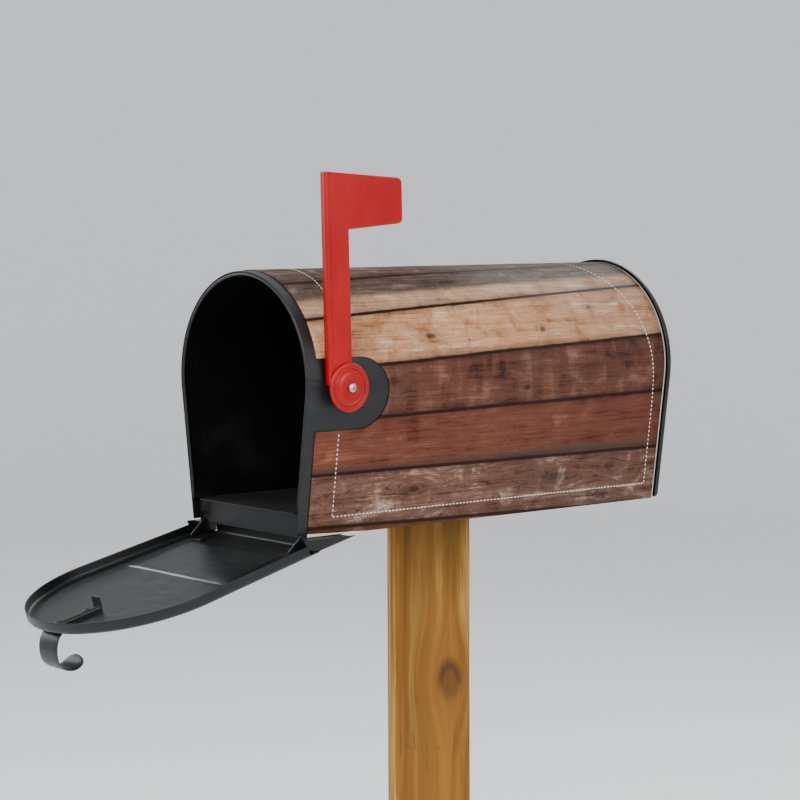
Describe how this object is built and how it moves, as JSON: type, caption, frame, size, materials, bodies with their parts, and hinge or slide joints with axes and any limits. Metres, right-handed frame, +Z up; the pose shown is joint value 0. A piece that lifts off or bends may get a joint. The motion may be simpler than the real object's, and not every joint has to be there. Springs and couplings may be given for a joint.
{
  "type": "post mounted mailbox",
  "caption": "Rural mailbox on a square timber post: arched steel box with a drop-down front door, a wood-print cover and a turning signal flag.",
  "frame": {"origin": "centre of the post's foot at ground level", "axes": "+Z up along the post, -Y out of the mailbox's mouth, +X to the side that carries the flag"},
  "size_m": [0.2486, 0.7662, 1.4098],
  "materials": {
    "timber": "pressure-treated pine, planed and weathered",
    "plywood": "plain softwood board",
    "black_steel": "black powder coat, satin",
    "zinc_steel": "bright zinc plate",
    "printed_vinyl": "weathered wood print on a magnetic vinyl sheet",
    "red_plastic": "moulded, semi-gloss red",
    "nylon": "natural moulded nylon"
  },
  "bodies": {
    "mailbox": {"post": "timber", "mounting_board": "plywood", "post_screw_1": "zinc_steel", "post_screw_2": "zinc_steel", "post_screw_3": "zinc_steel", "post_screw_4": "zinc_steel", "floor_screw_1": "zinc_steel", "floor_screw_2": "zinc_steel", "floor_screw_3": "zinc_steel", "floor_screw_4": "zinc_steel", "hinge_pin_right": "zinc_steel", "hinge_pin_left": "zinc_steel", "floor_pan": "black_steel", "body_shell": "black_steel", "front_rim": "black_steel", "front_sill": "black_steel", "rear_cap": "black_steel", "hinge_bracket_right": "black_steel", "hinge_bracket_left": "black_steel", "cover_wrap": "printed_vinyl", "flag_bush": "nylon"},
    "door": {"door_panel": "black_steel", "door_handle": "black_steel", "latch_clip": "black_steel", "door_rivet_1": "zinc_steel", "door_rivet_2": "zinc_steel", "door_arm_right": "black_steel", "door_arm_left": "black_steel"},
    "flag": {"flag_arm": "red_plastic", "flag_hub": "red_plastic", "flag_bolt": "zinc_steel", "flag_spring_washer": "zinc_steel", "flag_nut": "zinc_steel"}
  },
  "joints": [
    {"name": "door_hinge", "type": "hinge", "parent": "mailbox", "child": "door", "pos_m": [0, -0.2365, 1.0414], "axis": [-1, 0, 0], "range_deg": [0, 104.1]},
    {"name": "flag_pivot", "type": "hinge", "parent": "mailbox", "child": "flag", "pos_m": [0.12, -0.2082, 1.192], "axis": [-1, 0, 0], "range_deg": [0, 91.3]}
  ]
}
